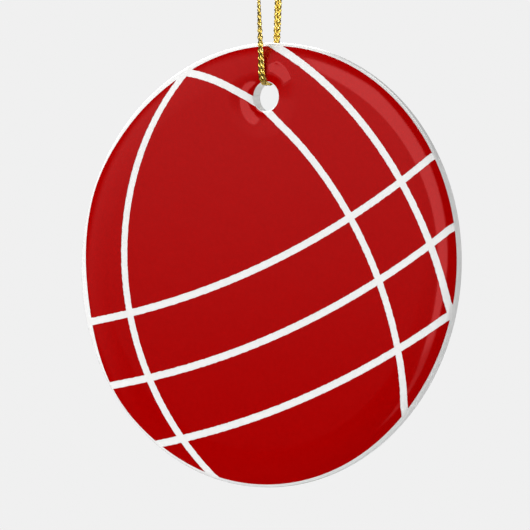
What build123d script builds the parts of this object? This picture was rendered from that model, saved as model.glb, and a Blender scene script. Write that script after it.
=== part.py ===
from build123d import *

import os
from math import pi, radians, sin, tan

# Round porcelain hanging ornament, printed on both faces with a banded ball, on a gold cord loop.
# Millimetres. +Z is up, the front face looks along -Y, and +X is to the right seen from the front.
# The origin is the point at the top of the loop where a hook bears, and the disc hangs below it.

# Disc
diameter = 73.0
thickness = 4.0
shoulder_width = 5.3  # the gentle fall beside the rim
shoulder_angle = 18.0  # the slope that the fall ends at
rim_round = 1.0  # radius between the fall and the side of the rim

# Cord hole. Each face rolls into it over a broad lip that ends in a small round.
hole_radius = 2.4
hole_height = 27.6  # above the disc's centre
lip_round = 5.2
lip_angle = 33.0  # the slope where the lip meets the small round
mouth_round = 0.45

# Print: red panels, with bare glaze between them as white bands
ink = 0.1
print_radius = 35.9
print_shift = 0.35  # the print sits this far to the right of the disc's centre
print_hole_radius = 2.7
band_width = 1.28
# Each band runs along an ellipse, placed from the print's centre:
# centre x, centre z, semi-axis 1, semi-axis 2, bearing of semi-axis 1 in degrees.
bands = [
    (-54.6, 141.4, 151.4, 151.4, 0.0),
    (-50.1, 133.0, 153.7, 153.7, 0.0),
    (-44.8, 123.4, 154.4, 154.4, 0.0),
    (18.1, -1.5, 43.4, 47.5, 47.0),
    (-5.9, -8.0, 44.3, 27.1, 121.0),
    (-10.7, -12.7, 57.1, 44.8, 118.6),
]

# Cord, one length of gold braid: down the front, through the hole, up the back and into a knot
cord_diameter = 1.1
hook_radius = 3.0
loop_reach = 84.0  # from the disc's centre up to where the hook bears
crown_end = -6.5  # height where the crown ends and the two strands begin
turning_gap = 0.1  # between the crown's ends and the strands' ends
knot_radius = 2.2
knot_half_height = 2.4
knot_bite = 0.4  # how deep the knot sits on the crown
run_share = 0.45  # how much of the shorter run beside a corner its arc takes

half = thickness / 2
rim_radius = diameter / 2
cord_radius = cord_diameter / 2
disc_z = -loop_reach
hole_z = disc_z + hole_height
disc_axis = Axis((0, 0, disc_z), (0, 1, 0))
face_plane = Plane((0, 0, disc_z), x_dir=(1, 0, 0), z_dir=(0, -1, 0))  # looks out of the front
hook_bend = hook_radius + cord_radius
knot_z = cord_diameter - knot_bite + knot_half_height

# The strands' route by hand: top of the front strand, bight under the hole's upper wall, rear strand.
strand_route = [
    (0.0, -3.75, crown_end - turning_gap),
    (0.1, -3.95, -23.2),
    (0.0, -3.3, -40.3),
    (0.0, -2.85, -49.8),
    (0.0, -2.3, -54.7),
    (0.0, 2.3, -54.7),
    (0.0, 2.85, -49.8),
    (0.0, 3.05, -40.3),
    (-0.1, 3.85, -23.2),
    (0.0, 3.75, crown_end - turning_gap),
]
crown_route = [
    (0.0, -3.75, crown_end),
    (0.0, -3.6, cord_radius),
    (0.0, 3.6, cord_radius),
    (0.0, 3.75, crown_end),
]
tail_routes = [
    [(0.4, -0.5, 4.8), (0.8, -1.1, 8.0), (2.5, -1.9, 11.2)],
    [(-0.4, 0.5, 4.8), (-1.0, 1.0, 7.7), (-3.2, 1.5, 10.2)],
]


def write(part, name):
    part.label = name
    export_step(part, f"parts/{name}.step")


def lip_cutter(grow):
    """What the hole and its front lip take away from the disc, as one solid of revolution."""
    slope = radians(lip_angle)
    lip_edge = hole_radius + mouth_round * (1 - sin(slope)) + lip_round * sin(slope)
    with BuildPart() as cutter:
        with BuildSketch(Plane.XY.offset(hole_z)):
            with BuildLine():
                lip = JernArc((lip_edge, -half - grow), (-1, 0), lip_round + grow, -lip_angle)
                mouth = JernArc(lip @ 1, lip % 1, mouth_round + grow, lip_angle - 90)
                wall = Line(mouth @ 1, ((mouth @ 1).X, 0))
                Polyline(wall @ 1, (0, 0), (0, -thickness), (lip_edge, -thickness), lip @ 0)
            make_face()
        revolve(axis=Axis((0, 0, hole_z), (0, 1, 0)))
    return cutter.part


def blank(grow):
    """The disc with its faces moved out by grow, so that two of them hold a skin between them."""
    slope = radians(shoulder_angle)
    flat_radius = rim_radius - shoulder_width - rim_round * (1 - sin(slope))
    fall_radius = shoulder_width / sin(slope) + grow
    front_lip = lip_cutter(grow)
    with BuildPart() as disc:
        with BuildSketch(Plane.XY.offset(disc_z)):
            with BuildLine():
                face = Line((0, half + grow), (flat_radius, half + grow))
                fall = JernArc(face @ 1, face % 1, fall_radius, -shoulder_angle)
                turn = JernArc(fall @ 1, fall % 1, rim_round + grow, shoulder_angle - 90)
                side = Line(turn @ 1, (rim_radius + grow, 0))
                Polyline(side @ 1, (0, 0), face @ 0)
            make_face()
            mirror(about=Plane.XZ)
        revolve(axis=disc_axis)
        add(front_lip, mode=Mode.SUBTRACT)
        add(front_lip.mirror(Plane.XZ), mode=Mode.SUBTRACT)
    return disc.part


def band_ring(centre_x, centre_z, semi_1, semi_2, bearing):
    side = band_width / 2
    with BuildSketch() as ring:
        with Locations(Location((centre_x + print_shift, centre_z, 0), (0, 0, bearing))):
            Ellipse(semi_1 + side, semi_2 + side)
            Ellipse(semi_1 - side, semi_2 - side, mode=Mode.SUBTRACT)
    return ring.sketch


def red_panels(skin):
    """The printed panels of the front face: the skin inside the print's outline, off its bands."""
    with BuildPart() as panels:
        with BuildSketch(face_plane):
            with Locations((print_shift, 0)):
                Circle(print_radius)
            for band in bands:
                add(band_ring(*band), mode=Mode.SUBTRACT)
            with Locations((0, hole_height)):
                Circle(print_hole_radius, mode=Mode.SUBTRACT)
        extrude(amount=thickness)
        add(skin, mode=Mode.INTERSECT)
    return panels.part


def corner_radii(points):
    """Each corner's arc takes the same share of the shorter run beside it."""
    route = [Vector(*point) for point in points]
    radii = []
    for before, corner, after in zip(route, route[1:], route[2:]):
        into, out = corner - before, after - corner
        half_turn = radians(into.get_angle(out)) / 2
        radii.append(run_share * min(into.length, out.length) / tan(half_turn))
    return radii


def tube(points, radii):
    with BuildPart() as cord:
        with BuildLine():
            route = FilletPolyline(*points, radius=radii)
        with BuildSketch(Plane(origin=route @ 0, z_dir=route % 0)):
            Circle(cord_radius)
        sweep()
    expected = pi * cord_radius**2 * route.length
    print(
        "tube length", round(route.length, 2), "radii", [round(radius, 2) for radius in radii],
        "volume over section x length", round(cord.part.volume / expected, 4),
    )
    return cord.part


os.makedirs("parts", exist_ok=True)

# Porcelain disc, and the red print fused onto each glazed face
ceramic_disc = blank(0)
write(ceramic_disc, "ceramic_disc")

front_print = red_panels(blank(ink) - blank(0))
write(front_print, "front_print")

back_print = front_print.rotate(Axis.Z, 180)
write(back_print, "back_print")

# Cord: the two strands and the bight that carries the disc
strand_radii = corner_radii(strand_route)
mouth_bend = mouth_round + cord_radius + 0.15  # round the hole's mouth with a little clearance
strand_radii[3] = mouth_bend
strand_radii[4] = mouth_bend
cord_strands = tube(strand_route, strand_radii)
write(cord_strands, "cord_strands")

# Crown: the short stretch that goes over the hook
cord_crown = tube(crown_route, [hook_bend, hook_bend])
write(cord_crown, "cord_crown")

# Overhand knot that ties the two ends together above the hook
with BuildPart() as cord_knot:
    with BuildSketch(Plane.XZ):
        with Locations((0, knot_z)):
            Ellipse(knot_radius, knot_half_height)
        with Locations((-knot_radius, knot_z)):
            Rectangle(2 * knot_radius, 3 * knot_half_height, mode=Mode.SUBTRACT)
    revolve(axis=Axis.Z)
write(cord_knot.part, "cord_knot")

# Two short cut ends that stand out of the knot
cord_tails = Compound(children=[tube(route, corner_radii(route)) for route in tail_routes])
write(cord_tails, "cord_tails")
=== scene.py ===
"""Looks of a hanging porcelain ornament: a glazed disc, its red panels, its gold braid and a pale studio.

Lengths are in metres. The front face looks along -Y, +Z is up, and a hook bears at the origin.
"""

import math

import bpy
import numpy as np
from mathutils import Matrix, Vector
from mathutils.geometry import delaunay_2d_cdt


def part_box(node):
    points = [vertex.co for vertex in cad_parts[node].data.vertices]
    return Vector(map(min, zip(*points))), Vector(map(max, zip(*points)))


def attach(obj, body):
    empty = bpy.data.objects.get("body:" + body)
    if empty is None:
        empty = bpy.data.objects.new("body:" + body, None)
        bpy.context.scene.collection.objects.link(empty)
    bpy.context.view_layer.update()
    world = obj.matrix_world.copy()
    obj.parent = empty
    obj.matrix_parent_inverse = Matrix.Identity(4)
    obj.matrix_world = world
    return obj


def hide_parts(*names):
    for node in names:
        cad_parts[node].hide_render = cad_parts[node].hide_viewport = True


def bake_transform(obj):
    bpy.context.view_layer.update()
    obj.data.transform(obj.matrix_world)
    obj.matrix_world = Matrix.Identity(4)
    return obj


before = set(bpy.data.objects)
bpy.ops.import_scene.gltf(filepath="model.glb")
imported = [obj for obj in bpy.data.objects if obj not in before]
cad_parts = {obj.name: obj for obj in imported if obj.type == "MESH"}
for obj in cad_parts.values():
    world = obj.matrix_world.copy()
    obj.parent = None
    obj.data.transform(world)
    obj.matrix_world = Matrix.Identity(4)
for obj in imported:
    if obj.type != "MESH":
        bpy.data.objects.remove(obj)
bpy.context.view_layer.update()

MM = 0.001

# The disc, measured from its CAD node
disc_low, disc_high = (Vector(corner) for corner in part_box("ceramic_disc"))
CENTRE = (disc_low + disc_high) / 2
RADIUS = (disc_high.z - disc_low.z) / 2
HALF = (disc_high.y - disc_low.y) / 2

# Its surface: a flat middle, a gentle fall to the rim, and a broad lip round the cord hole
SHOULDER = 5.3 * MM
SHOULDER_SLOPE = math.radians(18)
RIM_ROUND = 1.0 * MM
HOLE_UP = 27.6 * MM
HOLE_RADIUS = 2.4 * MM
LIP_ROUND = 12.6 * MM
LIP_SLOPE = math.radians(19)
MOUTH_ROUND = 0.45 * MM
FALL_END = RADIUS - RIM_ROUND * (1 - math.sin(SHOULDER_SLOPE))
FALL_START = FALL_END - SHOULDER
FALL_ROUND = SHOULDER / math.sin(SHOULDER_SLOPE)
FALL_DROP = FALL_ROUND * (1 - math.cos(SHOULDER_SLOPE))
RIM_LEVEL = HALF - FALL_DROP - RIM_ROUND * math.cos(SHOULDER_SLOPE)
LIP_END = HOLE_RADIUS + MOUTH_ROUND * (1 - math.sin(LIP_SLOPE))
LIP_REACH = LIP_ROUND * math.sin(LIP_SLOPE)
LIP_DROP = LIP_ROUND * (1 - math.cos(LIP_SLOPE))
MOUTH_LEVEL = HALF - LIP_DROP - MOUTH_ROUND * math.cos(LIP_SLOPE)
# The glaze evens out part of the lip's slope above the hole and to its right, and has one thick patch there
GLAZE_FILL = 0.75
GLAZE_SWELL = 0.19
# Its mesh
ROUND_STEPS = 320
BORE_RINGS = 5
MOUTH_RINGS = 9
FACE_RINGS = 120
RIM_RINGS = 9
RING_GATHER = 0.85  # how much the face's rings gather at the hole and at the rim
JUST_INSIDE = 0.99999

# The print
INK = 0.03 * MM
EDGE_LEVEL = 0.999  # how far out the print's slope still changes, against the end of the fall
PRINT_WIDE = 35.9 * MM  # half of the print's width
PRINT_HIGH = 36.0 * MM  # half of its height
PRINT_SHIFT = 0.35 * MM  # how far right of the disc's centre the bands' drawing sits
OUTLINE_SHIFT = (0.42 * MM, -0.05 * MM)  # where the print's outline sits
# Where its hand-trimmed outline strays from round: bearing and spread in degrees, and how far out it goes
OUTLINE_STRAYS = [
    (121, 17, -0.33 * MM),
    (157, 11, 0.36 * MM),
    (188, 15, -0.70 * MM),
    (217, 12, 0.36 * MM),
    (318, 22, -0.12 * MM),
]
WRAP = 0.6  # how far the drawing slides left for each unit that the face falls away
PRINT_HOLE = 2.57 * MM
PRINT_HOLE_SHIFT = 0.13 * MM
BAND_WIDTH = 1.22 * MM
OUTLINE_STEP = 0.3 * MM
HOLE_STEP = 0.12 * MM
BAND_STEP = 0.22  # millimetres between the points along a band
BAND_PAST = 2 * MM  # how far a band's drawing runs past the print
HAND_STRAY = 0.028 * MM  # how far a hand-inked edge strays
HAND_WAVES = ((3.4, 0.35), (2.1, 0.45), (1.2, 0.5), (0.7, 0.4))  # each wave's length in millimetres and share
HAND_EVEN = 1.7  # brings the sum of the waves down to about one
# Each band runs along an ellipse, in millimetres and degrees from the print's centre:
# centre x, centre z, semi-axis 1, semi-axis 2, bearing of semi-axis 1.
BANDS = [
    (-57.2, 127.9, 147.7, 138.2, -4.1),
    (-49.8, 125.5, 150.9, 146.3, 3.7),
    (-44.7, 121.6, 153.9, 152.7, 1.3),
    (19.6, -1.5, 44.4, 48.5, 52.1),
    (-6.0, -8.6, 44.7, 27.5, 120.4),
    (-11.9, -14.8, 58.8, 46.9, 116.2),
]

# The cord: a flat braid of metallic yarns
YARNS = 8
YARN_RADIUS = 0.13 * MM
YARN_SIDES = 6
YARN_WEAVE = 0.08 * MM  # how far a yarn rises over and dips under the ones that it crosses
BRAID_PITCH = 4.6 * MM  # one turn of a yarn round the cord
BRAID_STEP = BRAID_PITCH / 36
BRAID_HALF_WIDTH = 0.46 * MM
BRAID_HALF_DEPTH = 0.09 * MM
BRAID_ZIGZAG = 0.97  # how evenly a yarn crosses the flat side, up to 1
BRAID_EDGE = 0.1  # how gently a yarn turns round the braid's edge
CORE_SIDES = 10
CORE_WIDE = 0.92  # the core's share of the braid's width
CORE_DEEP = 0.9  # and of its depth
BIGHT_PRESS = 0.30  # how much wider the braid is pressed at the hole
BIGHT_REACH = 4.5 * MM
TWIST_PASSES = 40  # how often the braid's turning is smoothed
# The cord's route: knot, crown over the hook, front strand, bight, rear strand, crown, knot
CORD_ROUTE = [
    (0.0, -0.00035, 0.0016),
    (0.0, -0.0014, 0.0011),
    (0.0, -0.0033, 0.0007),
    (0.0, -0.0038, -0.0020),
    (0.0, -0.00375, -0.0066),
    (0.0001, -0.00395, -0.0232),
    (0.0, -0.0033, -0.0403),
    (-0.00015, -0.0023, -0.0498),
    (-0.0003, -0.00175, -0.0543),
    (-0.0002, 0.00165, -0.0543),
    (-0.0001, 0.0023, -0.0498),
    (-0.0001, 0.00305, -0.0403),
    (-0.0001, 0.00385, -0.0232),
    (0.0, 0.00375, -0.0066),
    (0.0, 0.0038, -0.0020),
    (0.0, 0.0033, 0.0007),
    (0.0, 0.0014, 0.0011),
    (0.0, 0.00035, 0.0016),
]
# Height on the front strand, then on the rear one, and how far the braid's flat side has turned there
FRONT_TWIST = [(-0.056, 0), (-0.053, 0), (-0.0475, 21), (-0.0405, 58), (-0.022, 62), (-0.006, 0), (0.01, 0)]
REAR_TWIST = [(-0.056, 0), (-0.0475, 0), (-0.0405, 32), (-0.024, 48), (-0.006, 0), (0.01, 0)]
TAIL_ROUTES = [
    [
        (0.0003, -0.0004, 0.0045),
        (0.0004, -0.0005, 0.0055),
        (0.0008, -0.0011, 0.008),
        (0.0025, -0.0019, 0.011),
    ],
    [
        (-0.0003, 0.0004, 0.0045),
        (-0.0004, 0.0005, 0.0055),
        (-0.001, 0.001, 0.0077),
        (-0.0032, 0.0015, 0.01),
    ],
]
TAIL_WIDE = (0.6, 0.8, 0.0)  # the direction across a cut end's flat side
FRAY = 0.28 * MM
FRAY_REACH = 1.6 * MM
# The knot is a long trefoil, with the cord's two ends side by side along it
KNOT_SCALE = (0.52 * MM, 0.46 * MM, 0.19 * MM)
KNOT_SPAN = 2.05
KNOT_OFFSET = 0.3 * MM  # from the knot's line to the middle of each end
KNOT_LEAN = (0.0, 1.0, 0.2)

# Studio
BACKDROP = 0.871  # how bright the empty background looks
VEIL_MIDDLE = -32.0  # bearing of the veil's middle
LIGHT_ELEVATION = math.radians(30)
LIGHT_DISTANCE = 1.5
LIGHT_SIZE = 1.2
LIGHT_POWER = 15
FLOOR_HEIGHT = -0.45
FLOOR_REACH = 3.0

# Camera
VIEW_AZIMUTH = math.radians(32)  # to the right of the front
VIEW_ELEVATION = math.radians(-2)
VIEW_DISTANCE = 1.5
VIEW_LENS = 620.5
VIEW_LEFT = 0.69 * MM  # how far left of the disc's centre the camera aims


# ---------------------------------------------------------------- camera

def heading(azimuth, elevation):
    """The direction at an azimuth to the right of the front and an elevation, both in radians."""
    return Vector((
        math.sin(azimuth) * math.cos(elevation),
        -math.cos(azimuth) * math.cos(elevation),
        math.sin(elevation),
    ))


def facing(place, back):
    """The matrix of an upright camera or light at a place, with its back towards a direction."""
    right = Vector((0, 0, 1)).cross(back).normalized()
    up = back.cross(right)
    turn = Matrix((right, up, back)).transposed().to_4x4()
    return Matrix.Translation(place) @ turn


camera_data = bpy.data.cameras.new("camera")
camera_data.sensor_width = 36
camera_data.lens = VIEW_LENS
camera_data.clip_end = 100
camera = bpy.data.objects.new("camera", camera_data)
view_back = heading(VIEW_AZIMUTH, VIEW_ELEVATION)
view_right = Vector((math.cos(VIEW_AZIMUTH), math.sin(VIEW_AZIMUTH), 0))
camera.matrix_world = facing(CENTRE - VIEW_LEFT * view_right + VIEW_DISTANCE * view_back, view_back)
bpy.context.scene.collection.objects.link(camera)
bpy.context.scene.camera = camera


# ---------------------------------------------------------------- meshes

def add_mesh(name, points, faces, normals=None):
    mesh = bpy.data.meshes.new(name)
    mesh.from_pydata(np.asarray(points).tolist(), [], [tuple(int(i) for i in face) for face in faces])
    mesh.validate()
    mesh.shade_smooth()
    if normals is not None:
        mesh.normals_split_custom_set_from_vertices(np.asarray(normals).tolist())
    piece = bpy.data.objects.new(name, mesh)
    bpy.context.scene.collection.objects.link(piece)
    return piece


def grid_faces(rows, columns, wrap_rows=False, wrap_columns=False):
    """The quads of a grid of points that are numbered row by row."""
    faces = []
    for i in range(rows if wrap_rows else rows - 1):
        for j in range(columns if wrap_columns else columns - 1):
            i2, j2 = (i + 1) % rows, (j + 1) % columns
            faces.append([i * columns + j, i * columns + j2, i2 * columns + j2, i2 * columns + j])
    return faces


def tube_faces(rows, sides):
    """The faces of a tube that is closed at both ends, for its points row by row."""
    faces = grid_faces(rows, sides, wrap_columns=True)
    faces.append(list(range(sides))[::-1])
    faces.append([(rows - 1) * sides + i for i in range(sides)])
    return faces


def join(parts):
    """The points and faces of several parts as one."""
    points, faces, count = [], [], 0
    for part_points, part_faces in parts:
        points.append(part_points)
        faces += [[i + count for i in face] for face in part_faces]
        count += len(part_points)
    return np.concatenate(points), faces


def smooth_line(name, route):
    """Points along the NURBS spline that has the route as its control points."""
    curve = bpy.data.curves.new(name, "CURVE")
    curve.dimensions = "3D"
    curve.resolution_u = 24
    spline = curve.splines.new("NURBS")
    spline.points.add(len(route) - 1)
    for point, place in zip(spline.points, route):
        point.co = (*place, 1)
    spline.order_u = 3
    spline.use_endpoint_u = True
    holder = bpy.data.objects.new(name, curve)
    mesh = bpy.data.meshes.new_from_object(holder)
    points = np.array([vertex.co[:] for vertex in mesh.vertices])
    bpy.data.objects.remove(holder)
    bpy.data.meshes.remove(mesh)
    return points


def distances(points):
    return np.concatenate([[0], np.cumsum(np.linalg.norm(np.diff(points, axis=0), axis=1))])


def resample(points, step):
    """The same line at even steps: its points, and their distance along it."""
    along = distances(points)
    even = np.linspace(0, along[-1], max(3, int(round(along[-1] / step)) + 1))
    return np.column_stack([np.interp(even, along, points[:, k]) for k in range(3)]), even


def unit(vectors):
    return vectors / np.linalg.norm(vectors, axis=-1, keepdims=True)


def smooth(values, passes):
    for _ in range(passes):
        values[1:-1] = (values[:-2] + 2 * values[1:-1] + values[2:]) / 4
    return values


def flat_frames(line, wide, twist):
    """For each point of a line: the directions across the braid's width and out of its flat side."""
    ahead = unit(np.gradient(line, axis=0))
    across = unit(wide - np.sum(wide * ahead, axis=1, keepdims=True) * ahead)
    out = np.cross(ahead, across)
    cos, sin = np.cos(twist)[:, None], np.sin(twist)[:, None]
    return cos * across + sin * out, cos * out - sin * across


def tube(line, radius, sides):
    """A round tube along a line, closed at both ends: its points and faces."""
    ahead = unit(np.gradient(line, axis=0))
    across = np.empty_like(line)
    seed = np.cross(ahead[0], (0.3, 0.5, 0.8))
    for i, direction in enumerate(ahead):
        seed = seed - np.dot(seed, direction) * direction
        seed = seed / np.linalg.norm(seed)
        across[i] = seed
    out = np.cross(ahead, across)
    turn = np.linspace(0, 2 * np.pi, sides, endpoint=False)
    ring = np.cos(turn)[None, :, None] * across[:, None, :] + np.sin(turn)[None, :, None] * out[:, None, :]
    points = (line[:, None, :] + radius * ring).reshape(-1, 3)
    return points, tube_faces(len(line), sides)


def braid(line, wide, twist, spread=1.0, fray=0.0):
    """A flat braid along a line, round a flat core: its points and faces."""
    along = distances(line)
    across, out = flat_frames(line, wide, twist)
    spread = np.broadcast_to(spread, (len(line),))
    weave = np.sin(YARNS * np.pi * along / BRAID_PITCH)
    each_way = YARNS // 2
    parts = []
    for yarn in range(YARNS):
        way = 1 if yarn < each_way else -1
        start = 2 * np.pi * (yarn % each_way) / each_way + (0 if way == 1 else np.pi / each_way)
        turn = start + way * 2 * np.pi * along / BRAID_PITCH
        rise = way * YARN_WEAVE * weave / spread
        side = np.arcsin(BRAID_ZIGZAG * np.cos(turn)) / math.asin(BRAID_ZIGZAG)
        face = np.sin(turn) * np.sqrt((1 + BRAID_EDGE) / (np.sin(turn) ** 2 + BRAID_EDGE))
        # Each yarn frays its own way
        x = (BRAID_HALF_WIDTH * spread + rise * np.abs(side)) * side + fray * np.cos(2.4 * yarn + 0.5)
        y = (BRAID_HALF_DEPTH / spread ** 2 + rise) * face + fray * np.sin(1.9 * yarn)
        parts.append(tube(line + x[:, None] * across + y[:, None] * out, YARN_RADIUS, YARN_SIDES))
    turn = np.linspace(0, 2 * np.pi, CORE_SIDES, endpoint=False)
    x = (CORE_WIDE * BRAID_HALF_WIDTH * spread)[:, None] * np.cos(turn)
    y = (CORE_DEEP * BRAID_HALF_DEPTH / spread ** 2)[:, None] * np.sin(turn)
    core = line[:, None, :] + x[..., None] * across[:, None, :] + y[..., None] * out[:, None, :]
    parts.append((core.reshape(-1, 3), tube_faces(len(line), CORE_SIDES)))
    return join(parts)


# ---------------------------------------------------------------- cord

cord_line, cord_along = resample(smooth_line("cord_route", CORD_ROUTE), BRAID_STEP)
from_bight = np.abs(cord_along - cord_along[-1] / 2)
cord_twist = np.where(
    cord_along < cord_along[-1] / 2,
    np.interp(cord_line[:, 2], *zip(*FRONT_TWIST)),
    np.interp(cord_line[:, 2], *zip(*REAR_TWIST)),
)
cord_twist = np.radians(smooth(cord_twist, TWIST_PASSES))
cord_spread = 1 + BIGHT_PRESS * np.exp(-((from_bight / BIGHT_REACH) ** 2))
cord_wide = np.tile((1.0, 0.0, 0.0), (len(cord_line), 1))
cord = add_mesh("cord_loop", *braid(cord_line, cord_wide, cord_twist, cord_spread))
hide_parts("cord_strands", "cord_crown")

# The overhand knot
knot_low, knot_high = (Vector(corner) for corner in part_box("cord_knot"))
t = np.linspace(-KNOT_SPAN, KNOT_SPAN, 400)
knot_line = np.column_stack([
    KNOT_SCALE[0] * (t ** 3 - 3 * t),
    KNOT_SCALE[1] * (t ** 4 - 4 * t ** 2 + 1.6),
    KNOT_SCALE[2] * (t ** 5 - 10 * t),
]) + np.array((knot_low + knot_high) / 2)
knot_line, _ = resample(knot_line, BRAID_STEP)
knot_ahead = unit(np.gradient(knot_line, axis=0))
knot_side = unit(np.cross(knot_ahead, KNOT_LEAN))
knot_wide = np.cross(knot_side, knot_ahead)
knot_parts = []
for offset in (-KNOT_OFFSET, KNOT_OFFSET):
    knot_parts.append(braid(knot_line + offset * knot_side, knot_wide, np.zeros(len(knot_line))))
knot = add_mesh("cord_overhand_knot", *join(knot_parts))
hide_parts("cord_knot")
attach(knot, "loop_top")

# The two cut ends, each a little frayed
tail_parts = []
for route in TAIL_ROUTES:
    tail_line, tail_along = resample(smooth_line("tail_route", route), BRAID_STEP)
    fray = FRAY * np.clip(1 - (tail_along[-1] - tail_along) / FRAY_REACH, 0, 1) ** 2
    tail_wide = np.tile(TAIL_WIDE, (len(tail_line), 1))
    tail_parts.append(braid(tail_line, tail_wide, np.zeros(len(tail_line)), fray=fray))
tails = add_mesh("cord_cut_ends", *join(tail_parts))
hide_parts("cord_tails")
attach(tails, "loop_top")

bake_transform(cord)


# ---------------------------------------------------------------- disc

def face_height(x, z):
    """How far a face stands from the disc's middle plane, at x and z from the disc's centre."""
    r = np.hypot(x, z)
    over = np.clip(r - FALL_START, 0, SHOULDER)
    face = HALF - FALL_ROUND + np.sqrt(FALL_ROUND ** 2 - over ** 2)
    past = np.clip(r - RADIUS + RIM_ROUND, 0, RIM_ROUND)
    rim = RIM_LEVEL + np.sqrt(RIM_ROUND ** 2 - past ** 2)
    rho = np.hypot(x, z - HOLE_UP)
    near = np.clip(LIP_END + LIP_REACH - rho, 0, LIP_REACH)
    face = np.where(r > FALL_END, rim, face) - LIP_ROUND + np.sqrt(LIP_ROUND ** 2 - near ** 2)
    inside = np.clip(HOLE_RADIUS + MOUTH_ROUND - rho, 0, MOUTH_ROUND)
    mouth = MOUTH_LEVEL + np.sqrt(MOUTH_ROUND ** 2 - inside ** 2)
    return np.where(rho < LIP_END, mouth, face)


def ease(value, low, high):
    """A smooth rise from 0 at low to 1 at high, which may be the smaller one."""
    share = np.clip((value - low) / (high - low), 0, 1)
    return share * share * (3 - 2 * share)


def glaze_swell(x, z):
    """How far the glaze's thick patch above the hole leans to the right."""
    up = z - HOLE_UP
    rho = np.hypot(x, up)
    near_and_far = ease(rho, 3.9 * MM, 4.4 * MM) * ease(rho, 6.5 * MM, 6.0 * MM)
    left_and_below = ease(x, 0.6 * MM, 1.2 * MM) * ease(up - 0.6 * x, -0.9 * MM, -0.4 * MM)
    return GLAZE_SWELL * near_and_far * left_and_below * ease(up - 0.3 * x, 5.1 * MM, 4.7 * MM)


def face_normals(x, z):
    """The front face's outward normals."""
    step = 1e-6
    dx = (face_height(x + step, z) - face_height(x - step, z)) / (2 * step)
    dz = (face_height(x, z + step) - face_height(x, z - step)) / (2 * step)
    up = z - HOLE_UP
    rho = np.maximum(np.hypot(x, up), LIP_END)
    near = np.clip(LIP_END + LIP_REACH - rho, 0, LIP_REACH)
    lip = near / np.sqrt(LIP_ROUND ** 2 - near ** 2) * ease(rho, 2.7 * MM, 3.05 * MM)
    fill_x = GLAZE_FILL * lip * x / rho * ease(x, -0.4 * MM, 0.4 * MM)
    fill_z = GLAZE_FILL * lip * up / rho * ease(up, -0.4 * MM, 0.4 * MM)
    swell = glaze_swell(x, z)
    return unit(np.column_stack([swell + fill_x - dx, -np.ones_like(dx), 0.5 * swell + fill_z - dz]))


ring_turn = np.linspace(0, 2 * np.pi, ROUND_STEPS, endpoint=False)
ring_cos, ring_sin = np.cos(ring_turn), np.sin(ring_turn)


def ring(centre_up, radius, level):
    return np.column_stack([radius * ring_cos, np.full(ROUND_STEPS, -level), centre_up + radius * ring_sin])


def tilted(slope, outward):
    """The normals round a ring where the surface slopes, away from the ring's middle if outward is 1."""
    tilt = outward * math.sin(slope)
    return np.column_stack([tilt * ring_cos, np.full(ROUND_STEPS, -math.cos(slope)), tilt * ring_sin])


half_rings, half_normals = [], []
# Bore wall, from the middle plane out, then the mouth's round
for level in np.linspace(0, MOUTH_LEVEL, BORE_RINGS)[:-1]:
    half_rings.append(ring(HOLE_UP, HOLE_RADIUS, level))
    half_normals.append(tilted(math.pi / 2, -1))
for slope in np.linspace(math.pi / 2, LIP_SLOPE, MOUTH_RINGS)[:-1]:
    rho = HOLE_RADIUS + MOUTH_ROUND * (1 - math.sin(slope))
    half_rings.append(ring(HOLE_UP, rho, MOUTH_LEVEL + MOUTH_ROUND * math.cos(slope)))
    half_normals.append(tilted(slope, -1))
# The face, in rings that pass from the hole's circle to the rim's
for t in np.linspace(0, 1, FACE_RINGS):
    share = t - RING_GATHER * math.sin(2 * math.pi * t) / (2 * math.pi)
    flat = ring(HOLE_UP * (1 - share), LIP_END + (FALL_END - LIP_END) * share, 0)
    flat[:, 1] = -face_height(flat[:, 0], flat[:, 2])
    half_rings.append(flat)
    half_normals.append(face_normals(flat[:, 0] * JUST_INSIDE, flat[:, 2] * JUST_INSIDE))
# The rim's round and side
for slope in np.linspace(SHOULDER_SLOPE, math.pi / 2, RIM_RINGS)[1:]:
    rho = RADIUS - RIM_ROUND * (1 - math.sin(slope))
    half_rings.append(ring(0, rho, RIM_LEVEL + RIM_ROUND * math.cos(slope)))
    half_normals.append(tilted(slope, 1))

front = np.array(half_rings)
back = front[::-1] * (1, -1, 1)
front_normals = np.array(half_normals)
back_normals = front_normals[::-1] * (1, -1, 1)
rings = np.concatenate([front, back[:-1]])
ring_normals = np.concatenate([front_normals, back_normals[:-1]])
disc_faces = grid_faces(len(rings), ROUND_STEPS, wrap_rows=True, wrap_columns=True)
disc = add_mesh(
    "glazed_disc",
    rings.reshape(-1, 3) + np.array(CENTRE),
    [face[::-1] for face in disc_faces],
    ring_normals.reshape(-1, 3),
)
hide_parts("ceramic_disc")
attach(disc, "disc")


# ---------------------------------------------------------------- print

rng = np.random.default_rng(7)


def hand_drawn(along):
    """How far a hand-inked edge strays at each point along it."""
    stray = np.zeros_like(along)
    for wave, share in HAND_WAVES:
        waves = max(3, int(round(along[-1] / (wave * MM))))
        for extra in (-2, 0, 1):
            turn = rng.uniform(0, 2 * np.pi)
            stray += share * np.sin(2 * np.pi * (waves + extra) * along / along[-1] + turn) / HAND_EVEN
    return HAND_STRAY * stray


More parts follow.
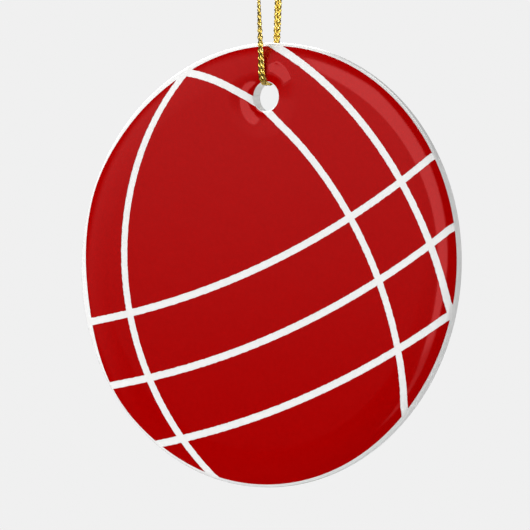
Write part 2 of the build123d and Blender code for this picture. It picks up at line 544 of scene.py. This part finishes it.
def band_outlines(centre_x, centre_z, semi_1, semi_2, bearing):
    """The closed outlines of a band's parts that cross the print."""
    turn = np.linspace(0, 2 * np.pi, int(2 * np.pi * max(semi_1, semi_2) / BAND_STEP), endpoint=False)
    lean = math.radians(bearing)
    x, z = semi_1 * np.cos(turn), semi_2 * np.sin(turn)
    line = np.column_stack([
        centre_x + x * math.cos(lean) - z * math.sin(lean) + PRINT_SHIFT / MM,
        centre_z + x * math.sin(lean) + z * math.cos(lean),
    ]) * MM
    over = np.clip(np.hypot(line[:, 0], line[:, 1]) - FALL_START, 0, SHOULDER)
    line[:, 0] -= WRAP * (FALL_ROUND - np.sqrt(FALL_ROUND ** 2 - over ** 2))
    inside = np.hypot(line[:, 0] - PRINT_SHIFT, line[:, 1]) < PRINT_HIGH + BAND_PAST
    start = int(np.argmin(inside))
    line, inside = np.roll(line, -start, axis=0), np.roll(inside, -start)
    ends = np.flatnonzero(np.diff(np.concatenate([[0], inside.astype(int), [0]])))
    outlines = []
    for first, last in zip(ends[::2], ends[1::2]):
        run = line[first:last]
        along = distances(run)
        ahead = unit(np.gradient(run, axis=0))
        side = np.column_stack([-ahead[:, 1], ahead[:, 0]])
        outer = run + side * (BAND_WIDTH / 2 + hand_drawn(along))[:, None]
        inner = run - side * (BAND_WIDTH / 2 + hand_drawn(along))[:, None]
        outlines.append(np.concatenate([inner, outer[::-1]]))
    return outlines


def outline_radius(x, z):
    """The outline's distance from its own middle, towards a point seen from there."""
    bearing = np.degrees(np.arctan2(z, x)) % 360
    strays = [size * np.exp(-(((bearing - middle) / spread) ** 2)) for middle, spread, size in OUTLINE_STRAYS]
    return PRINT_HIGH + sum(strays)


def within_outline(x, z):
    """How far inside the print's outline a point lies."""
    x, z = (x - OUTLINE_SHIFT[0]) * PRINT_HIGH / PRINT_WIDE, z - OUTLINE_SHIFT[1]
    return outline_radius(x, z) - np.hypot(x, z)


def circle(centre_x, centre_z, radius, step):
    turn = np.linspace(0, 2 * np.pi, int(2 * np.pi * radius / step), endpoint=False)
    return np.column_stack([centre_x + radius * np.cos(turn), centre_z + radius * np.sin(turn)])


def fill_points():
    """Points inside the print, closer together where its face bends."""
    lip_zone = LIP_END + LIP_REACH + 0.3 * MM
    fall_zone = FALL_START - 0.3 * MM
    points = []
    for spacing, keep in (
        (1.2 * MM, lambda r, rho: (r < fall_zone) & (rho > lip_zone)),
        (0.55 * MM, lambda r, rho: (r >= fall_zone) & (rho > lip_zone)),
        (0.30 * MM, lambda r, rho: rho <= lip_zone),
    ):
        count = int(1.2 * PRINT_HIGH / spacing)
        i, j = np.meshgrid(np.arange(-count, count + 1), np.arange(-count, count + 1))
        x = (i + 0.5 * (j % 2)).ravel() * spacing + PRINT_SHIFT
        z = j.ravel() * spacing * 0.866
        clear_of_edge = within_outline(x, z) > 0.15 * MM
        clear_of_hole = np.hypot(x - PRINT_HOLE_SHIFT, z - HOLE_UP) > PRINT_HOLE + 0.35 * MM
        chosen = clear_of_edge & clear_of_hole & keep(np.hypot(x, z), np.hypot(x, z - HOLE_UP))
        points.append(np.column_stack([x[chosen], z[chosen]]))
    # The mouth's and the rim's rounds bend the most
    for radius in np.arange(PRINT_HOLE + 0.06 * MM, PRINT_HOLE + 0.3 * MM, 0.06 * MM):
        points.append(circle(PRINT_HOLE_SHIFT, HOLE_UP, radius, HOLE_STEP))
    for radius in np.arange(FALL_END - 0.2 * MM, RADIUS, 0.08 * MM):
        rim = circle(0, 0, radius, OUTLINE_STEP)
        points.append(rim[within_outline(rim[:, 0], rim[:, 1]) > 0.03 * MM])
    return np.concatenate(points)


print_outline = circle(0, 0, PRINT_HIGH, OUTLINE_STEP)
print_outline *= outline_radius(*print_outline.T)[:, None] / PRINT_HIGH
outlines = [
    print_outline * (PRINT_WIDE / PRINT_HIGH, 1) + OUTLINE_SHIFT,
    circle(PRINT_HOLE_SHIFT, HOLE_UP, PRINT_HOLE, HOLE_STEP),
]
for band in BANDS:
    outlines += band_outlines(*band)
flat_points = np.concatenate(outlines + [fill_points()]) / MM
faces_in, count = [], 0
for outline in outlines:
    faces_in.append(list(range(count, count + len(outline))))
    count += len(outline)
flat, _, triangles, _, _, origins = delaunay_2d_cdt(
    [Vector(point) for point in flat_points.tolist()], [], faces_in, 0, 1e-5, True)
flat = np.array([point[:] for point in flat]) * MM
red = np.array([face for face, origin in zip(triangles, origins) if 0 in origin and len(origin) == 1])
used, red = np.unique(red, return_inverse=True)
red = red.reshape(-1, 3)
flat = flat[used]
height = face_height(flat[:, 0], flat[:, 1])
# The print's edge lies a little flatter than the rim's round under it
inward = np.minimum(1, EDGE_LEVEL * FALL_END / np.hypot(flat[:, 0], flat[:, 1]))
normals = face_normals(flat[:, 0] * inward, flat[:, 1] * inward)
skin = np.column_stack([flat[:, 0], -height, flat[:, 1]])
a, b, c = (flat[red[:, k]] for k in range(3))
turned = (b[:, 0] - a[:, 0]) * (c[:, 1] - a[:, 1]) - (b[:, 1] - a[:, 1]) * (c[:, 0] - a[:, 0]) < 0
red[turned] = red[turned][:, ::-1]

# A thin closed shell: the top face, the bottom one just under the glaze, and walls along the edges
top, bottom = skin + INK * normals, skin - INK * normals
open_edges = {}
for triangle in red:
    for i, j in zip(triangle, np.roll(triangle, -1)):
        if open_edges.pop((j, i), None) is None:
            open_edges[(i, j)] = True
start, end = np.array(list(open_edges)).T
wall_points = np.concatenate([top[start], top[end], bottom[start], bottom[end]])
wall_normals = np.tile(unit(np.cross(top[end] - top[start], -normals[start])), (4, 1))
count, n = len(skin), len(start)
walls = [[2 * count + i + k * n for k in (0, 2, 3, 1)] for i in range(n)]
shell_points = np.concatenate([top, bottom, wall_points])
shell_faces = list(red) + list(red[:, ::-1] + count) + walls
shell_normals = np.concatenate([normals, -normals, wall_normals])
prints = []
for name, node, turn in (("front_red_panels", "front_print", 1), ("back_red_panels", "back_print", -1)):
    half_turn = np.array((turn, turn, 1))
    piece = add_mesh(
        name, shell_points * half_turn + np.array(CENTRE), shell_faces, shell_normals * half_turn)
    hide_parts(node)
    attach(piece, "disc")
    prints.append(piece)


# ---------------------------------------------------------------- materials

def new_material(name, **values):
    """A material, its node tree and its shader with these values on the shader's sockets."""
    material = bpy.data.materials.new(name)
    material.use_nodes = True
    shader = material.node_tree.nodes["Principled BSDF"]
    for socket, value in values.items():
        shader.inputs[socket.replace("_", " ")].default_value = value
    return material, material.node_tree, shader


def noise(tree, scale, detail=2, roughness=0.5, stretch=(1, 1, 1)):
    """A noise in the object's own metres: scale is in waves per metre."""
    place = tree.nodes.new("ShaderNodeTexCoord")
    mapping = tree.nodes.new("ShaderNodeMapping")
    mapping.inputs["Scale"].default_value = stretch
    texture = tree.nodes.new("ShaderNodeTexNoise")
    texture.inputs["Scale"].default_value = scale
    texture.inputs["Detail"].default_value = detail
    texture.inputs["Roughness"].default_value = roughness
    tree.links.new(place.outputs["Object"], mapping.inputs["Vector"])
    tree.links.new(mapping.outputs["Vector"], texture.inputs["Vector"])
    return texture


def ramp(tree, factor, *stops):
    node = tree.nodes.new("ShaderNodeValToRGB")
    node.color_ramp.elements[0].position, node.color_ramp.elements[0].color = stops[0]
    node.color_ramp.elements[1].position, node.color_ramp.elements[1].color = stops[-1]
    for position, color in stops[1:-1]:
        node.color_ramp.elements.new(position).color = color
    tree.links.new(factor, node.inputs["Fac"])
    return node.outputs["Color"]


def bump(tree, shader, height, distance, strength):
    node = tree.nodes.new("ShaderNodeBump")
    node.inputs["Strength"].default_value = strength
    node.inputs["Distance"].default_value = distance
    tree.links.new(height, node.inputs["Height"])
    tree.links.new(node.outputs["Normal"], shader.inputs["Normal"])


def uneven_glaze(tree, shader):
    """The glaze's own faint waves."""
    bump(tree, shader, noise(tree, 320, 2).outputs["Fac"], 0.01 * MM, 0.25)


def grey(value):
    return (value, value, value, 1)


porcelain, tree, shader = new_material("porcelain", Roughness=0.12, IOR=1.5, Specular_IOR_Level=0.25)
speckle = noise(tree, 900, 3)
tree.links.new(
    ramp(tree, speckle.outputs["Fac"], (0.3, (0.785, 0.785, 0.775, 1)), (0.7, (0.815, 0.815, 0.81, 1))),
    shader.inputs["Base Color"],
)
uneven_glaze(tree, shader)

red_glaze, tree, shader = new_material(
    "red_print", Roughness=0.07, IOR=1.5, Specular_IOR_Level=0.9, Specular_Tint=(1.0, 0.21, 0.21, 1))
mottle = noise(tree, 1400, 4, 0.7)
tree.links.new(
    ramp(tree, mottle.outputs["Fac"], (0.3, (0.345, 0.0001, 0.0001, 1)), (0.7, (0.385, 0.0004, 0.0004, 1))),
    shader.inputs["Base Color"],
)
uneven_glaze(tree, shader)

gold, tree, shader = new_material("gold_braid", Metallic=1.0, Roughness=0.25)
flakes_painted_shade_and_glint = noise(tree, 5200, 2, 0.6)
# The base colour mixes the gold at random with a dark olive tone, a painted shade like that between the
# yarns, and a paler one, a painted glint; the same noise varies the roughness
tree.links.new(
    ramp(
        tree, flakes_painted_shade_and_glint.outputs["Fac"],
        (0.36, (0.32, 0.20, 0.012, 1)), (0.5, (0.88, 0.62, 0.09, 1)), (0.64, (1.0, 0.88, 0.40, 1)),
    ),
    shader.inputs["Base Color"],
)
tree.links.new(
    ramp(tree, flakes_painted_shade_and_glint.outputs["Fac"], (0.3, grey(0.34)), (0.7, grey(0.18))), shader.inputs["Roughness"])
bump(tree, shader, noise(tree, 9000, 1).outputs["Fac"], 0.02 * MM, 0.5)

for piece, material in [(disc, porcelain), (cord, gold), (knot, gold), (tails, gold)]:
    piece.data.materials.append(material)
for piece in prints:
    piece.data.materials.append(red_glaze)


# ---------------------------------------------------------------- studio

scene = bpy.context.scene
scene.view_settings.view_transform = "Standard"
scene.view_settings.look = "None"

world = bpy.data.worlds.new("studio")
world.use_nodes = True
scene.world = world
tree = world.node_tree
tree.nodes.clear()


def maths(operation, first, second=0.0):
    node = tree.nodes.new("ShaderNodeMath")
    node.operation = operation
    for socket, value in zip(node.inputs, (first, second)):
        if isinstance(value, (int, float)):
            socket.default_value = value
        else:
            tree.links.new(value, socket)
    return node.outputs[0]


def step_up(value, low, high, smooth_step=True):
    """A rise from 0 at low to 1 at high. Either of them may be the smaller one, or a socket."""
    node = tree.nodes.new("ShaderNodeMapRange")
    node.interpolation_type = "SMOOTHSTEP" if smooth_step else "LINEAR"
    for socket, end in ((1, low), (2, high)):
        if isinstance(end, (int, float)):
            node.inputs[socket].default_value = end
        else:
            tree.links.new(end, node.inputs[socket])
    tree.links.new(value, node.inputs[0])
    return node.outputs[0]


def bent_edge(value, low, high, points):
    """A curve through points over low to high, in the same units as its values."""
    share = step_up(value, low, high, False)
    node = tree.nodes.new("ShaderNodeFloatCurve")
    curve = node.mapping.curves[0]
    places = [((x - low) / (high - low), (y + 60) / 120) for x, y in points]
    curve.points[0].location, curve.points[1].location = places[0], places[-1]
    for place in places[1:-1]:
        curve.points.new(*place)
    node.mapping.update()
    tree.links.new(share, node.inputs["Value"])
    return maths("SUBTRACT", maths("MULTIPLY", node.outputs[0], 120.0), 60.0)


def times(*values):
    product = values[0]
    for value in values[1:]:
        product = maths("MULTIPLY", product, value)
    return product


def weighted(*terms):
    """The sum of values that each have a weight."""
    total = 0.0
    for value, weight in terms:
        total = maths("ADD", maths("MULTIPLY", value, weight), total)
    return total


# What the glaze and the braid reflect, by bearing and height in degrees. Behind is the same as in front,
# but for a dimmer window.
direction = tree.nodes.new("ShaderNodeTexCoord").outputs["Generated"]
split = tree.nodes.new("ShaderNodeSeparateXYZ")
tree.links.new(direction, split.inputs[0])
ahead = maths("ABSOLUTE", split.outputs["Y"])
aside = maths("MULTIPLY", split.outputs["X"], maths("MULTIPLY", maths("SIGN", split.outputs["Y"]), -1.0))
bearing = maths("MULTIPLY", maths("ARCTAN2", aside, ahead), 180 / math.pi)
lift = maths("MULTIPLY", maths("ARCSINE", split.outputs["Z"]), 180 / math.pi)

# The window: a tall softbox that leans to the left at its top and has a dim, narrow foot
left_edge = bent_edge(lift, -20, 40, [
    (-20, -15), (-13, -10.5), (-6, -11.3), (2, -11.5), (7, -13),
    (11, -16.5), (14, -21.5), (16, -26), (20, -28), (40, -28),
])
right_edge = bent_edge(lift, -20, 40, [
    (-20, -12.5), (-15, -7.5), (-9, -4.5), (-5, -4), (2, -1), (10, -1),
    (17.5, -4), (22, -8.5), (27, -14), (40, -26),
])
left_of_right_edge = step_up(maths("SUBTRACT", bearing, right_edge), 0.8, -0.8)
window = times(
    weighted((step_up(split.outputs["Y"], 0.05, -0.05), 0.7), (1.0, 0.3)),
    step_up(maths("SUBTRACT", bearing, left_edge), -0.8, 0.8),
    left_of_right_edge,
    weighted((step_up(lift, -10, -6), 0.65), (step_up(lift, -20, -18), 0.35)),
    step_up(lift, 28, 26),
)
# The veil: a faint glow that fades out downwards, more slowly to either side of its middle
from_middle = maths("SUBTRACT", bearing, VEIL_MIDDLE)
off_middle = maths("MAXIMUM", maths("SUBTRACT", maths("ABSOLUTE", from_middle), 1.7), 0.0)
veil_spread = maths("ADD", maths("MULTIPLY", off_middle, 0.7), 1.0)
veil_lift = maths("ADD", maths("DIVIDE", maths("SUBTRACT", lift, 2.0), veil_spread), 2.0)
out_from_middle = maths("SQRT", maths("ADD", maths("POWER", from_middle, 2.0), maths("POWER", lift, 2.0)))
veil = times(
    maths("POWER", step_up(veil_lift, 0.95, 3.05, False), 1.15),
    step_up(out_from_middle, 33, 23.5),
    left_of_right_edge,
    maths("SUBTRACT", 1.0, window),
)
# Bright panels and dim surroundings that only the braid and the round edges reflect
side_panel = times(
    step_up(bearing, 26, 32), step_up(bearing, 70, 64), step_up(lift, 6, 12), step_up(lift, 60, 54))
top_panel = times(
    step_up(bearing, -74, -66), step_up(bearing, 10, 4), step_up(lift, 40, 46), step_up(lift, 76, 70))
far_panel = times(step_up(bearing, -84, -88), step_up(lift, -10, 10))
dark_middle = times(
    step_up(bearing, -84, -76), step_up(bearing, 14, 8), step_up(lift, -48, -40), step_up(lift, 50, 42))
surroundings = maths("SUBTRACT", 1.0, dark_middle)
reflected = weighted(
    (window, 2.25), (veil, 0.64), (side_panel, 6.0), (top_panel, 4.5), (far_panel, 1.0), (surroundings, 0.16))

output = tree.nodes.new("ShaderNodeOutputWorld")
ray = tree.nodes.new("ShaderNodeLightPath")


def glow(strength):
    """A white background whose strength is a number or a socket."""
    node = tree.nodes.new("ShaderNodeBackground")
    node.inputs["Color"].default_value = grey(1.0)
    if isinstance(strength, (int, float)):
        node.inputs["Strength"].default_value = strength
    else:
        tree.links.new(strength, node.inputs["Strength"])
    return node.outputs[0]


def choose(kind, without, with_it):
    """One glow for the rays of this kind, and another for the rest."""
    node = tree.nodes.new("ShaderNodeMixShader")
    tree.links.new(ray.outputs[kind], node.inputs[0])
    tree.links.new(without, node.inputs[1])
    tree.links.new(with_it, node.inputs[2])
    return node.outputs[0]


# The soft light from all round is a little weaker from the right
fill = glow(maths("SUBTRACT", 0.65, maths("MULTIPLY", maths("MAXIMUM", split.outputs["X"], 0.0), 0.13)))
lighting = choose("Is Glossy Ray", fill, glow(reflected))
tree.links.new(choose("Is Camera Ray", lighting, glow(BACKDROP)), output.inputs["Surface"])


def soft_light(name, azimuth):
    """A square light that faces the disc and doesn't show in its glaze."""
    data = bpy.data.lights.new(name, "AREA")
    data.size = LIGHT_SIZE
    data.energy = LIGHT_POWER
    lamp = bpy.data.objects.new(name, data)
    back = heading(math.radians(azimuth), LIGHT_ELEVATION)
    lamp.matrix_world = facing(CENTRE + LIGHT_DISTANCE * back, back)
    lamp.visible_glossy = False
    scene.collection.objects.link(lamp)


soft_light("key", -40)
soft_light("back_key", 220)

floor_corners = [
    (x * FLOOR_REACH, y * FLOOR_REACH, FLOOR_HEIGHT) for x, y in ((-1, -1), (1, -1), (1, 1), (-1, 1))]
floor = add_mesh("floor", floor_corners, [(0, 1, 2, 3)])
floor_paint, tree, shader = new_material("floor", Roughness=0.8)
cloud = noise(tree, 6, 2).outputs["Fac"]
tree.links.new(ramp(tree, cloud, (0.3, grey(0.78)), (0.7, grey(0.82))), shader.inputs["Base Color"])
floor.data.materials.append(floor_paint)
floor.visible_glossy = False
